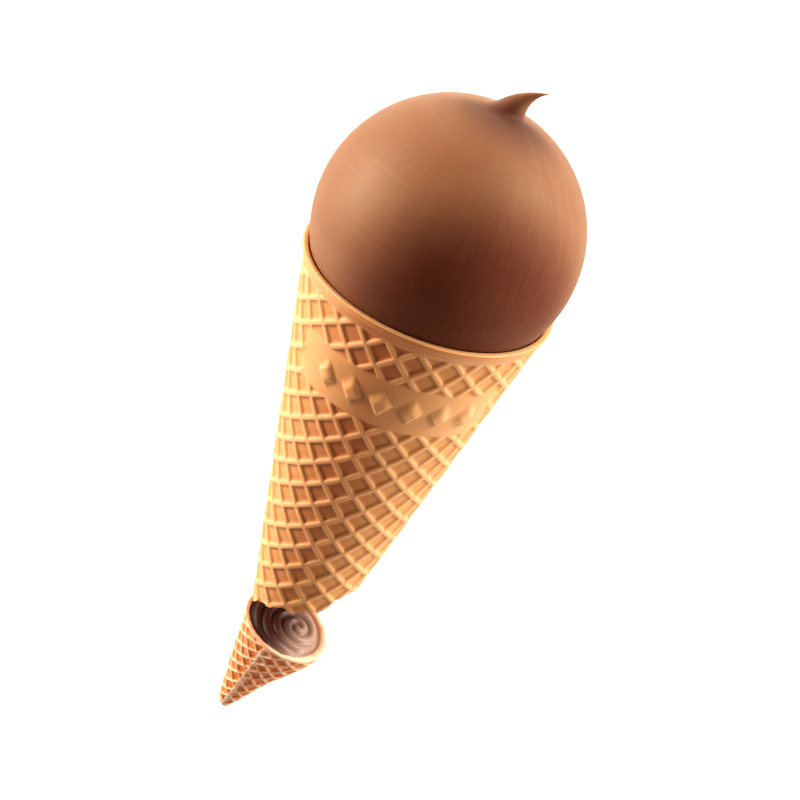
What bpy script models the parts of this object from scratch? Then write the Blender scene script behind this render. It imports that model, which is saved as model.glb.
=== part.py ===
"""A filled ice cream cone lying on its side, its tip snapped off and folded down behind it.

Metres, +Z up, floor at z = 0. The big cone points along X, with the ball of ice cream at +X and the
snapped tip at -X. The tip lies on the floor too and still meets the big cone along the underside of
the break. The origin is on the floor under the middle of the object.
"""

import math

import bmesh
import bpy
from mathutils import Matrix, Vector

MM = 0.001
GAP = 0.3 * MM
FLAT_DEPTH = 0.18 * MM

# Big wafer cone, measured over its ridges.
MOUTH_RADIUS = 26.0 * MM
CONE_HALF_ANGLE = math.radians(10.5)
WAFER_WALL = 1.9 * MM
LIP_RADIUS = 26.4 * MM
LIP_INNER_RADIUS = 25.2 * MM
LIP_DEPTH = 4.5 * MM
BAND_DEPTH = 3.5 * MM
MOUTH_X = 39.71 * MM

# Waffle grid of the big cone, on the flat sheet that it is rolled from.
CELL_HALF_WIDTH = 3.42 * MM
CELL_HALF_HEIGHT = 3.49 * MM
GRID_LEAN = math.radians(1.5)
GRID_SIDE_SHIFT = -3.33 * MM
GRID_DROP = 27.38 * MM
RIDGE_WIDTH = 1.2 * MM
POCKET_SLOPE = 0.35 * MM
POCKET_DEPTH = 0.85 * MM

# Plain banner round the near side, with a row of raised lozenges.
BANNER_TOP = 12.2 * MM
BANNER_BOTTOM = 24.4 * MM
BANNER_TURNS = (math.radians(-50.0), math.radians(66.0))
LOZENGE_COUNT = 6
LOZENGE_TURNS = (math.radians(-29.0), math.radians(49.0))
LOZENGE_SIZE = (3.4 * MM, 6.0 * MM)
LOZENGE_RISE = 0.55 * MM

# Seam where the sheet laps over itself, under the cone.
SEAM_TURN = math.radians(150.0)
SEAM_STEP = 0.6 * MM
SEAM_RAMP = math.radians(40.0)

# Broken end: slant distance below the mouth, all round.
BREAK_DOWN = 84.7 * MM
BREAK_SKEW = 3.15 * MM
BREAK_TAIL = 13.0 * MM
TAIL_POWERS = (1.2, 3.5)
CHIP_DEPTH = 4.0 * MM
CHIP_TURNS = (math.radians(41.0), math.radians(122.0))
BREAK_SCALLOP = 0.45 * MM
BREAK_REACH = 99.0 * MM
UNDERSIDE_DOWN = 93.0 * MM

# Ball of ice cream with its curled peak.
BALL_RADIUS = 27.2 * MM
BALL_ABOVE_MOUTH = 10.4 * MM
PEAK_DIRECTION = Vector((1.0, -0.0743, 0.0721)).normalized()
CURL_DIRECTION = Vector((0.0, -1.0, -0.0522))
PEAK_FOOT_RADIUS = 5.6 * MM
PEAK_ROOT_RADIUS = 4.39 * MM
PEAK_ROOT_DEPTH = 1.79 * MM
PEAK_BEND_RADIUS = 8.75 * MM
PEAK_BEND = math.radians(66.3)
PEAK_TAPER = 1.54
PEAK_START = 0.25
PEAK_KNEE = (3.34 * MM, -0.11 * MM)
FILLING_END = 76.0 * MM

# Snapped tip.
TIP_MOUTH_RADIUS = 10.0 * MM
TIP_HALF_ANGLE = math.radians(14.83)
TIP_YAW = math.radians(-12.6)
TIP_APEX = Vector((MOUTH_X - 128.16 * MM, 7.87 * MM, -0.12 * MM))
TIP_WALL = 1.0 * MM
TIP_BLUNT = 6.5 * MM
TIP_BORE_END = 8.0 * MM
TIP_CELL_HALF = 2.0 * MM
TIP_RIDGE = 0.5 * MM
TIP_POCKET_DEPTH = 0.45 * MM
TIP_LIP_BAND = 1.3 * MM
TIP_SEAM_TURN = math.radians(-10.0)
TIP_SEAM_STEP = 0.35 * MM
TIP_SWELL = 1.1 * MM
TIP_SWELL_TURN = math.radians(80.0)

# Swirl of chocolate in the tip.
SWIRL_OFFSET = (2.8 * MM, -0.8 * MM)
SWIRL_PITCH = 2.5 * MM
SWIRL_HEIGHT = 0.7 * MM
SWIRL_DOME = 1.0 * MM
SWIRL_SINK = 0.9 * MM

SEGMENTS = 60
BALL_SEGMENTS = 30
SNAP_SHARE = 0.1


class Cone:
    """A cone's surface: a turn of 0 is its near side, and down is measured along it from the mouth."""

    def __init__(self, mouth, axis, mouth_radius, half_angle):
        self.mouth = mouth
        self.axis = axis.normalized()
        self.near = (Vector((0, 0, 1)) - self.axis * self.axis.z).normalized()
        self.side = self.axis.cross(self.near)
        self.half_angle = half_angle
        self.mouth_radius = mouth_radius
        self.slant = mouth_radius / math.sin(half_angle)
        self.apex = mouth - self.axis * (mouth_radius / math.tan(half_angle))

    def point(self, turn, down, lift=0.0):
        along = self.slant - down
        outward = math.cos(turn) * self.near + math.sin(turn) * self.side
        sine, cosine = math.sin(self.half_angle), math.cos(self.half_angle)
        height, reach = along * cosine - lift * sine, along * sine + lift * cosine
        return self.apex + self.axis * height + outward * reach

    def ring(self, height, radius, segments=SEGMENTS):
        """A circle round the axis, height above the mouth plane."""
        turns = [2 * math.pi * k / segments for k in range(segments)]
        centre = self.mouth + self.axis * height
        return [centre + radius * (math.cos(t) * self.near + math.sin(t) * self.side) for t in turns]


def lie_angle():
    """Slope of the big cone's axis when it lies on its lip and the underside of its broken end."""
    end_radius = MOUTH_RADIUS - UNDERSIDE_DOWN * math.sin(CONE_HALF_ANGLE)
    return math.atan2(LIP_RADIUS - end_radius, UNDERSIDE_DOWN * math.cos(CONE_HALF_ANGLE))


def big_cone():
    slope = lie_angle()
    mouth = Vector((MOUTH_X, 0, LIP_RADIUS * math.cos(slope) - FLAT_DEPTH))
    return Cone(mouth, Vector((math.cos(slope), 0, math.sin(slope))), MOUTH_RADIUS, CONE_HALF_ANGLE)


def tip_cone():
    level = math.cos(TIP_HALF_ANGLE)
    axis = Vector((level * math.cos(TIP_YAW), level * math.sin(TIP_YAW), math.sin(TIP_HALF_ANGLE)))
    mouth = TIP_APEX + axis * (TIP_MOUTH_RADIUS / math.tan(TIP_HALF_ANGLE))
    return Cone(mouth, axis, TIP_MOUTH_RADIUS, TIP_HALF_ANGLE)


def clear_scene():
    for old in list(bpy.data.objects):
        bpy.data.objects.remove(old)


def new_collection(name):
    collection = bpy.data.collections.new(name)
    bpy.context.scene.collection.children.link(collection)
    return collection


def new_material(name, colour, roughness):
    material = bpy.data.materials.new(name)
    material.use_nodes = True
    shader = material.node_tree.nodes["Principled BSDF"]
    shader.inputs["Base Color"].default_value = (*colour, 1.0)
    shader.inputs["Roughness"].default_value = roughness
    shader.inputs["Metallic"].default_value = 0.0
    return material


def add_object(name, bm, collection, material=None):
    """Closes bm into a mesh object with its faces pointing out."""
    bmesh.ops.recalc_face_normals(bm, faces=bm.faces)
    if bm.calc_volume(signed=True) < 0:
        bmesh.ops.reverse_faces(bm, faces=bm.faces)
    mesh = bpy.data.meshes.new(name)
    bm.to_mesh(mesh)
    bm.free()
    if material:
        mesh.materials.append(material)
    body = bpy.data.objects.new(name, mesh)
    collection.objects.link(body)
    return body


def as_cutter(body):
    body.hide_render = True
    body.display_type = "WIRE"
    return body


def combine(body, operation, collection):
    modifier = body.modifiers.new(operation.lower(), "BOOLEAN")
    modifier.operation = operation
    modifier.operand_type = "COLLECTION"
    modifier.collection = collection
    modifier.solver = "EXACT"


def loft(rings):
    """A closed skin through rings of points; a ring of one point is a pole."""
    bm = bmesh.new()
    loops = [[bm.verts.new(point) for point in ring] for ring in rings]
    for lower, upper in zip(loops, loops[1:]):
        count = max(len(lower), len(upper))
        for k in range(count):
            corners = [lower[k % len(lower)], lower[(k + 1) % len(lower)]]
            corners += [upper[(k + 1) % len(upper)], upper[k % len(upper)]]
            bm.faces.new(list(dict.fromkeys(corners)))
    for end in (loops[0], loops[-1]):
        if len(end) > 1:
            bm.faces.new(end)
    return bm


def smooth_step(value):
    value = min(max(value, 0.0), 1.0)
    return value * value * (3 - 2 * value)


def sheet_grid(cone, half_width, half_height, lean, shift, drop):
    """The flat rhombic grid, moved to polar places (x = turn, y = distance from the apex)."""
    bm = bmesh.new()
    count = 2 * math.ceil(1.3 * cone.slant / half_height)
    bmesh.ops.create_grid(bm, x_segments=count, y_segments=count, size=count / 2)
    centre = Vector((shift, cone.slant - drop, 0))
    spread = Matrix(((half_width, -half_width, 0), (half_height, half_height, 0), (0, 0, 1)))
    turned = Matrix.Rotation(-lean, 3, "Z") @ spread
    stray = []
    for vert in bm.verts:
        cell_corner = vert.co + Vector((0.5, 0.5, 0))
        flat = turned @ cell_corner + centre
        angle = math.atan2(flat.x, flat.y)
        if abs(angle) > 2.4 or flat.xy.length > cone.slant + 3 * half_height:
            stray.append(vert)
        vert.co = (angle / math.sin(cone.half_angle) * cone.mouth_radius, flat.xy.length, 0)
    bmesh.ops.delete(bm, geom=stray, context="VERTS")
    return bm


def cut_line(bm, faces, point, normal, snap, clear=False):
    """Pulls corners within snap of a straight line onto it, then cuts the faces along it."""
    verts = {vert for face in faces for vert in face.verts}
    edges = {edge for face in faces for edge in face.edges}
    for vert in verts:
        offset = (vert.co - point).dot(normal)
        if abs(offset) < snap:
            vert.co -= offset * normal
    geometry = list(verts) + list(edges) + list(faces)
    bmesh.ops.bisect_plane(bm, geom=geometry, dist=1e-6, plane_co=point, plane_no=normal, clear_outer=clear)


def inner_radius(face):
    return 2 * face.calc_area() / face.calc_perimeter()


def shrink_inside(bm, cells, margin, depth=0.0):
    """Frames each cell: its middle shrinks towards its centre by margin and sinks by depth."""
    bmesh.ops.inset_individual(bm, faces=cells, thickness=0.0, depth=0.0)
    for face in cells:
        centre = face.calc_center_median_weighted()
        share = 1 - margin / inner_radius(face)
        for vert in face.verts:
            vert.co = centre + (vert.co - centre) * share - Vector((0, 0, depth))


def in_box(face, box):
    centre = face.calc_center_median()
    return box[0] < centre.x < box[1] and box[2] < centre.y < box[3]


def waffle_body(cone, grid, top, bottom, seam, pocket, banner=None, lip=()):
    """A solid cone with a waffle skin, closed at the mouth and below; the bore is cut later.

    grid is sheet_grid's sizes, seam is (turn, step, ramp), pocket is (ridge, slope, depth), banner is
    (turn from, turn to, down from, down to) and lip lists (down, lift) from the grid up to the mouth.
    """
    seam_turn, seam_step, seam_ramp = seam
    ridge, slope, depth = pocket
    scale, snap = cone.mouth_radius, SNAP_SHARE * grid[1]
    bm = sheet_grid(cone, *grid)
    first, last = (seam_turn - 2 * math.pi) * scale, seam_turn * scale
    upper, lower = cone.slant - top, cone.slant - bottom
    for point, normal in (
        (Vector((last, 0, 0)), Vector((1, 0, 0))),
        (Vector((first, 0, 0)), Vector((-1, 0, 0))),
        (Vector((0, upper, 0)), Vector((0, 1, 0))),
        (Vector((0, lower, 0)), Vector((0, -1, 0))),
    ):
        cut_line(bm, bm.faces[:], point, normal, snap, clear=True)
    plain_box = None
    if banner:
        plain_box = (banner[0] * scale, banner[1] * scale, cone.slant - banner[3], cone.slant - banner[2])
        reach = 6 * MM
        wide = (plain_box[0] - reach, plain_box[1] + reach, plain_box[2] - reach, plain_box[3] + reach)
        for axis, side in ((1, 2), (1, 3), (0, 0), (0, 1)):
            point = Vector((0, 0, 0))
            point[axis] = plain_box[side]
            normal = Vector((0, 0, 0))
            normal[axis] = 1
            along = wide if axis == 1 else (wide[0], wide[1], plain_box[2], plain_box[3])
            picked = [face for face in bm.faces if in_box(face, along)]
            cut_line(bm, picked, point, normal, snap)

    def spiral_lift(turn):
        return -seam_step * min(max((turn - seam_turn + seam_ramp) / seam_ramp, 0.0), 1.0)

    edge_verts = {"top": [], "bottom": [], "first": [], "last": []}
    for vert in bm.verts:
        turn = vert.co.x / scale
        if abs(vert.co.y - upper) < 1e-6:
            edge_verts["top"].append((turn, vert))
        if abs(vert.co.y - lower) < 1e-6:
            edge_verts["bottom"].append((turn, vert))
        if abs(vert.co.x - first) < 1e-6:
            edge_verts["first"].append((vert.co.y, vert))
        if abs(vert.co.x - last) < 1e-6:
            edge_verts["last"].append((vert.co.y, vert))
    for entries in edge_verts.values():
        entries.sort(key=lambda entry: entry[0])
    cells = [face for face in bm.faces if not (plain_box and in_box(face, plain_box))]
    for vert in bm.verts:
        angle = vert.co.x / scale * math.sin(cone.half_angle)
        vert.co = (vert.co.y * math.sin(angle), vert.co.y * math.cos(angle), 0)
    bm.normal_update()
    if next(iter(bm.faces)).normal.z < 0:
        bmesh.ops.reverse_faces(bm, faces=bm.faces)
    narrow = ridge / 2 + slope + 0.1 * MM
    cells = [face for face in cells if inner_radius(face) > narrow]
    if ridge > 0:
        shrink_inside(bm, cells, ridge / 2)
    shrink_inside(bm, cells, slope, depth)
    for vert in bm.verts:
        turn = math.atan2(vert.co.x, vert.co.y) / math.sin(cone.half_angle)
        vert.co = cone.point(turn, cone.slant - vert.co.xy.length, vert.co.z + spiral_lift(turn))

    ring = [vert for _, vert in edge_verts["top"]]
    turns = [turn for turn, _ in edge_verts["top"]]
    for down, lift in lip:
        fade = smooth_step(down / top)
        above = [bm.verts.new(cone.point(turn, down, lift + fade * spiral_lift(turn))) for turn in turns]
        for k in range(len(ring)):
            after = (k + 1) % len(ring)
            bm.faces.new((ring[k], ring[after], above[after], above[k]))
        ring = above
    for vert in ring:
        vert.co -= cone.axis * cone.axis.dot(vert.co - cone.mouth)
    bm.faces.new(ring)
    foot = [vert for _, vert in edge_verts["bottom"]]
    level = sum(cone.axis.dot(vert.co - cone.mouth) for vert in foot) / len(foot)
    for vert in foot:
        vert.co -= cone.axis * (cone.axis.dot(vert.co - cone.mouth) - level)
    bm.faces.new(foot)
    step_outline = [vert for _, vert in edge_verts["first"]]
    step_outline += [vert for _, vert in reversed(edge_verts["last"])]
    bm.faces.new(step_outline)
    bmesh.ops.remove_doubles(bm, verts=bm.verts, dist=1e-6)
    return bm


def break_down(turn, cone, tip):
    """Slant distance from the mouth to the break: the underside runs on until it meets the tip."""
    wrapped = math.atan2(math.sin(turn), math.cos(turn))
    tail = BREAK_TAIL * ((1 - math.cos(wrapped)) / 2) ** TAIL_POWERS[wrapped > 0]
    edge = math.radians(4.0)
    chip = smooth_step((wrapped - CHIP_TURNS[0] + edge) / (2 * edge))
    chip *= 1 - smooth_step((wrapped - CHIP_TURNS[1] + 3.5 * edge) / (7 * edge))
    scallop = BREAK_SCALLOP * (math.sin(11 * wrapped + 0.6) + 0.6 * math.sin(23 * wrapped))
    free = BREAK_DOWN - BREAK_SKEW * math.sin(wrapped) + tail - CHIP_DEPTH * chip + scallop
    ray = cone.point(wrapped, 0) - cone.apex
    facing = ray.dot(tip.axis) / cone.slant
    meets = cone.slant - (1.5 * GAP + (tip.mouth - cone.apex).dot(tip.axis)) / facing
    return min(free, meets)


def bore_radius(cone, height, wall):
    return cone.mouth_radius + height * math.tan(cone.half_angle) - wall / math.cos(cone.half_angle)


def floor_block():
    """Everything below the floor, which cuts the small flats that the wafers rest on."""
    block = bmesh.new()
    size = Matrix.Diagonal((0.4, 0.2, 0.1, 1.0))
    bmesh.ops.create_cube(block, size=1.0, matrix=Matrix.Translation((0, 0, -0.05)) @ size)
    return block


def build_wafer(parts, cone, tip):
    """The rolled wafer: waffle skin, plain lip band and banner, bored out and broken off."""
    grid = (CELL_HALF_WIDTH, CELL_HALF_HEIGHT, GRID_LEAN, GRID_SIDE_SHIFT, GRID_DROP)
    lip = ((2.4 * MM, 0.15 * MM), (0.9 * MM, 0.36 * MM), (0.35 * MM, 0.36 * MM), (0.0, 0.1 * MM))
    banner = (*BANNER_TURNS, BANNER_TOP, BANNER_BOTTOM)
    seam = (SEAM_TURN, SEAM_STEP, SEAM_RAMP)
    pocket = (RIDGE_WIDTH, POCKET_SLOPE, POCKET_DEPTH)
    skin = waffle_body(cone, grid, BAND_DEPTH, BREAK_REACH, seam, pocket, banner, lip)
    biscuit = new_material("wafer", (0.72, 0.42, 0.17), 0.6)
    body = add_object("wafer_cone", skin, parts, biscuit)

    studs = new_collection("lozenges")
    middle = (BANNER_TOP + BANNER_BOTTOM) / 2
    for k in range(LOZENGE_COUNT):
        turn = LOZENGE_TURNS[0] + (LOZENGE_TURNS[1] - LOZENGE_TURNS[0]) * k / (LOZENGE_COUNT - 1)
        stud = bmesh.new()
        bmesh.ops.create_cone(
            stud, cap_ends=True, segments=4, radius1=0.64, radius2=0.36, depth=1.2 * MM + LOZENGE_RISE
        )
        radius = (cone.slant - middle) * math.sin(cone.half_angle)
        for vert in stud.verts:
            across = vert.co.x * LOZENGE_SIZE[0] / radius
            lift = vert.co.z + (LOZENGE_RISE - 1.2 * MM) / 2
            vert.co = cone.point(turn + across, middle - vert.co.y * LOZENGE_SIZE[1], lift)
        as_cutter(add_object(f"lozenge_{k + 1}", stud, studs))
    combine(body, "UNION", studs)

    cutters = new_collection("wafer cutters")
    slope = (LIP_INNER_RADIUS - bore_radius(cone, -LIP_DEPTH, WAFER_WALL)) / LIP_DEPTH
    above = 5 * MM
    rings = [cone.ring(above, LIP_INNER_RADIUS + above * slope)]
    rings.append(cone.ring(-LIP_DEPTH, bore_radius(cone, -LIP_DEPTH, WAFER_WALL)))
    inner, outer = [], []
    for k in range(SEGMENTS):
        turn = 2 * math.pi * k / SEGMENTS
        down = break_down(turn, cone, tip)
        inner.append(cone.point(turn, down - 0.4 * MM, -WAFER_WALL))
        outer.append(cone.point(turn, down + 0.4 * MM, WAFER_WALL))
    far = -120 * MM
    rings += [inner, outer, cone.ring(-BREAK_DOWN, 3 * MOUTH_RADIUS), cone.ring(far, 3 * MOUTH_RADIUS)]
    as_cutter(add_object("bore_and_break", loft(rings), cutters))
    as_cutter(add_object("floor_cut", floor_block(), cutters))
    combine(body, "DIFFERENCE", cutters)
    return body


def curl_direction():
    along = PEAK_DIRECTION
    return (CURL_DIRECTION - along * along.dot(CURL_DIRECTION)).normalized()


def horn_section(share):
    """Height, sideways offset, tilt and radius of the peak's horn at a share of its length."""
    angle = PEAK_BEND * share
    height = BALL_RADIUS - PEAK_ROOT_DEPTH + PEAK_BEND_RADIUS * math.sin(angle)
    offset = PEAK_BEND_RADIUS * (1 - math.cos(angle))
    return height, offset, angle, PEAK_ROOT_RADIUS * (1 - share / 1.04) ** PEAK_TAPER


def peak_rings(centre):
    """The flared foot and the bent horn of the curled peak, as rings from the ball outwards."""
    along, bend = PEAK_DIRECTION, curl_direction()
    third = along.cross(bend)
    turns = [2 * math.pi * k / BALL_SEGMENTS for k in range(BALL_SEGMENTS)]
    foot_height = math.sqrt(BALL_RADIUS**2 - PEAK_FOOT_RADIUS**2)
    start = horn_section(PEAK_START)
    sections = []
    for step in range(1, 5):
        t = step / 4
        weights = ((1 - t) ** 2, 2 * t * (1 - t), t * t)
        knee_height = BALL_RADIUS + PEAK_KNEE[1]
        height = weights[0] * foot_height + weights[1] * knee_height + weights[2] * start[0]
        radius = weights[0] * PEAK_FOOT_RADIUS + weights[1] * PEAK_KNEE[0] + weights[2] * start[3]
        sections.append((height, weights[2] * start[1], weights[2] * start[2], radius))
    steps = 8
    sections += [horn_section(PEAK_START + (1 - PEAK_START) * step / steps) for step in range(1, steps + 1)]
    rings = []
    for height, offset, angle, radius in sections:
        middle = centre + height * along + offset * bend
        across = math.cos(angle) * bend - math.sin(angle) * along
        radius = max(radius, 0.12 * MM)
        rings.append([middle + radius * (math.cos(t) * across + math.sin(t) * third) for t in turns])
    height, offset, angle, _ = sections[-1]
    onward = math.cos(angle) * along + math.sin(angle) * bend
    rings.append([centre + height * along + offset * bend + 0.15 * MM * onward])
    return rings


def build_ice_cream(parts, cone):
    """The ball with its curled peak, and the filling below it down to near the break."""
    centre = cone.mouth + cone.axis * BALL_ABOVE_MOUTH
    end = -FILLING_END * math.cos(cone.half_angle)
    wall = WAFER_WALL + GAP
    profile = [(end, 0.5), (end + 1.2 * MM, 0.92), (end + 4 * MM, 1.0), (-40 * MM, 1.0), (-LIP_DEPTH, 1.0)]
    rings = [[cone.mouth + cone.axis * (end - 0.6 * MM)]]
    rings += [cone.ring(h, bore_radius(cone, h, wall) * share, BALL_SEGMENTS) for h, share in profile]
    rings.append(cone.ring(-0.2 * MM, LIP_INNER_RADIUS - 1.4 * GAP, BALL_SEGMENTS))
    swing = cone.axis.rotation_difference(PEAK_DIRECTION)
    start = math.asin((0.7 * MM - BALL_ABOVE_MOUTH) / BALL_RADIUS)
    finish = math.acos(PEAK_FOOT_RADIUS / BALL_RADIUS)
    steps = 13
    for step in range(steps + 1):
        latitude = start + (finish - start) * step / steps
        share = smooth_step(latitude / finish)
        turned = Matrix.Rotation(swing.angle * share, 3, swing.axis)
        axis = turned @ cone.axis
        first = turned @ cone.near
        ring = []
        for k in range(BALL_SEGMENTS):
            t = 2 * math.pi * k / BALL_SEGMENTS
            across = math.cos(t) * first + math.sin(t) * axis.cross(first)
            ring.append(centre + BALL_RADIUS * (math.sin(latitude) * axis + math.cos(latitude) * across))
        rings.append(ring)
    horn = peak_rings(centre)
    last_ring = rings[-1]
    shift = min(range(BALL_SEGMENTS), key=lambda k: (last_ring[k] - horn[0][0]).length)
    aligned = []
    for ring in horn:
        count = len(ring)
        aligned.append([ring[(k - shift) % count] for k in range(count)])
    cocoa = new_material("hazelnut ice cream", (0.30, 0.12, 0.06), 0.45)
    return add_object("ice_cream", loft(rings + aligned), parts, cocoa)


def swell_tip(skin, tip):
    """Pushes the tip's skin out a little on one side, below its mouth."""
    for vert in skin.verts:
        offset = vert.co - tip.mouth
        along = offset.dot(tip.axis)
        outward = offset - along * tip.axis
        if outward.length < MM:
            continue
        turn = math.atan2(outward.dot(tip.side), outward.dot(tip.near))
        down = -along / math.cos(tip.half_angle)
        share = max(math.cos(turn - TIP_SWELL_TURN), 0.0) ** 2 * (0.6 + 0.4 * smooth_step(down / (3 * MM)))
        share *= 1 - smooth_step((down - 6 * MM) / (12 * MM))
        vert.co += outward.normalized() * TIP_SWELL * share


def build_tip(parts, tip):
    """The snapped tip's own wafer, a finer waffle, open at its mouth and solid at its point."""
    grid = (TIP_CELL_HALF, TIP_CELL_HALF, 0.0, 0.0, 1.0 * MM)
    lip = ((0.5 * MM, 0.1 * MM), (0.0, 0.0))
    seam = (TIP_SEAM_TURN, TIP_SEAM_STEP, math.radians(60.0))
    pocket = (0.0, TIP_RIDGE, TIP_POCKET_DEPTH)
    skin = waffle_body(tip, grid, TIP_LIP_BAND, tip.slant - TIP_BLUNT, seam, pocket, None, lip)
    swell_tip(skin, tip)
    crisp = new_material("tip wafer", (0.66, 0.36, 0.15), 0.6)
    body = add_object("tip_cone", skin, parts, crisp)
    cutters = new_collection("tip cutters")
    bore_foot = TIP_BORE_END * math.cos(tip.half_angle) - TIP_MOUTH_RADIUS / math.tan(tip.half_angle)
    rings = [tip.ring(3 * MM, bore_radius(tip, 3 * MM, TIP_WALL), 48)]
    rings.append(tip.ring(bore_foot, bore_radius(tip, bore_foot, TIP_WALL), 48))
    as_cutter(add_object("tip_bore", loft(rings), cutters))
    as_cutter(add_object("tip_floor_cut", floor_block(), cutters))
    combine(body, "DIFFERENCE", cutters)
    return body


def swirl_height(across, up):
    """Height of the chocolate at a place in the tip's mouth: a spiral ridge on a low dome."""
    dx, dy = across - SWIRL_OFFSET[0], up - SWIRL_OFFSET[1]
    distance, angle = math.hypot(dx, dy), math.atan2(dy, dx)
    phase = distance / SWIRL_PITCH + angle / (2 * math.pi)
    ridge = abs(math.sin(math.pi * phase)) ** 0.7
    reach = TIP_MOUTH_RADIUS - TIP_WALL
    edge = smooth_step((reach - math.hypot(across, up)) / (2.5 * MM))
    return SWIRL_HEIGHT * ridge * edge + SWIRL_DOME * (1 - distance / (1.6 * reach)) * edge


def build_chocolate(parts, tip):
    """Chocolate poured into the tip, its top piped in a spiral."""
    segments, circles = 32, 11
    wall = TIP_WALL + GAP
    foot = (TIP_BORE_END + 1.5 * MM) * math.cos(tip.half_angle) - TIP_MOUTH_RADIUS / math.tan(tip.half_angle)
    rings = [tip.ring(foot, bore_radius(tip, foot, wall), segments)]
    edge_radius = bore_radius(tip, -SWIRL_SINK, wall)
    for circle in range(circles):
        radius = edge_radius * (1 - circle / circles)
        ring = []
        for k in range(segments):
            turn = 2 * math.pi * k / segments
            across, up = radius * math.sin(turn), radius * math.cos(turn)
            height = swirl_height(across, up) - SWIRL_SINK
            ring.append(tip.mouth + tip.axis * height + across * tip.side + up * tip.near)
        rings.append(ring)
    rings.append([tip.mouth + tip.axis * (swirl_height(0.0, 0.0) - SWIRL_SINK)])
    chocolate = new_material("chocolate", (0.16, 0.06, 0.04), 0.25)
    return add_object("tip_chocolate", loft(rings), parts, chocolate)


def main():
    clear_scene()
    parts = new_collection("ice cream cone")
    cone, tip = big_cone(), tip_cone()
    bodies = [
        build_wafer(parts, cone, tip),
        build_ice_cream(parts, cone),
        build_tip(parts, tip),
        build_chocolate(parts, tip),
    ]
    for body in bodies[1::2]:
        body.data.shade_smooth()
        body.data.set_sharp_from_angle(angle=math.radians(40))


main()
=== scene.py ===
import math

import bmesh
import bpy
from mathutils import Matrix, Vector, noise


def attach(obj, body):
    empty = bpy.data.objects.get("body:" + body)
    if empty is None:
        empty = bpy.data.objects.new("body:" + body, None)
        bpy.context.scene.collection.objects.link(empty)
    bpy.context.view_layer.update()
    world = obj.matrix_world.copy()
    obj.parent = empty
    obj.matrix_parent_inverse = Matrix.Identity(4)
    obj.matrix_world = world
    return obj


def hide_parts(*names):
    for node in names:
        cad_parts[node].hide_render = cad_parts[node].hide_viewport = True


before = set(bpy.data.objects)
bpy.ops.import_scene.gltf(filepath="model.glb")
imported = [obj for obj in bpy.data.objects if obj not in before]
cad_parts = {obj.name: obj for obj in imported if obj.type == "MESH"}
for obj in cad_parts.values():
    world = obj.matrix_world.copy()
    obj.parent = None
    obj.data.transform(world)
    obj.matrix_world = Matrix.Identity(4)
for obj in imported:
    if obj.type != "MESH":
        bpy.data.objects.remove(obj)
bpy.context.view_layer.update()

# The big wafer cone. A baked sheet of batter, still soft from a waffle press, is rolled round a
# wooden former and laps over itself underneath. Its lip is thickened, a plain banner is pressed
# flat on the shown side, and the lower end has snapped off roughly.
MM = 0.001


class RolledCone:
    """A rolled sheet: a turn of 0 is uppermost, and down runs along the sheet from the mouth."""

    def __init__(self, mouth, axis, mouth_radius, half_angle):
        self.mouth, self.axis = mouth, axis.normalized()
        self.near = (Vector((0, 0, 1)) - self.axis * self.axis.z).normalized()
        self.side = self.axis.cross(self.near)
        self.mouth_radius, self.half_angle = mouth_radius, half_angle
        self.slant = mouth_radius / math.sin(half_angle)
        self.apex = mouth - self.axis * (mouth_radius / math.tan(half_angle))

    def place(self, turn, down, lift=0.0):
        along = self.slant - down
        outward = math.cos(turn) * self.near + math.sin(turn) * self.side
        sine, cosine = math.sin(self.half_angle), math.cos(self.half_angle)
        depth, reach = along * cosine - lift * sine, along * sine + lift * cosine
        return self.apex + self.axis * depth + outward * reach

    def circle_place(self, turn, height, radius):
        outward = math.cos(turn) * self.near + math.sin(turn) * self.side
        return self.mouth + self.axis * height + outward * radius

    def turn_of(self, point):
        offset = point - self.mouth
        return math.atan2(offset.dot(self.side), offset.dot(self.near))


def ease(value):
    value = min(max(value, 0.0), 1.0)
    return value * value * (3 - 2 * value)


def wander(point, size, seed=0.0):
    """A smooth random number from -1 to 1 that changes over the given size."""
    return noise.noise(Vector((point.x / size + seed, point.y / size - seed, point.z / size + 3.7 * seed)))


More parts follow.
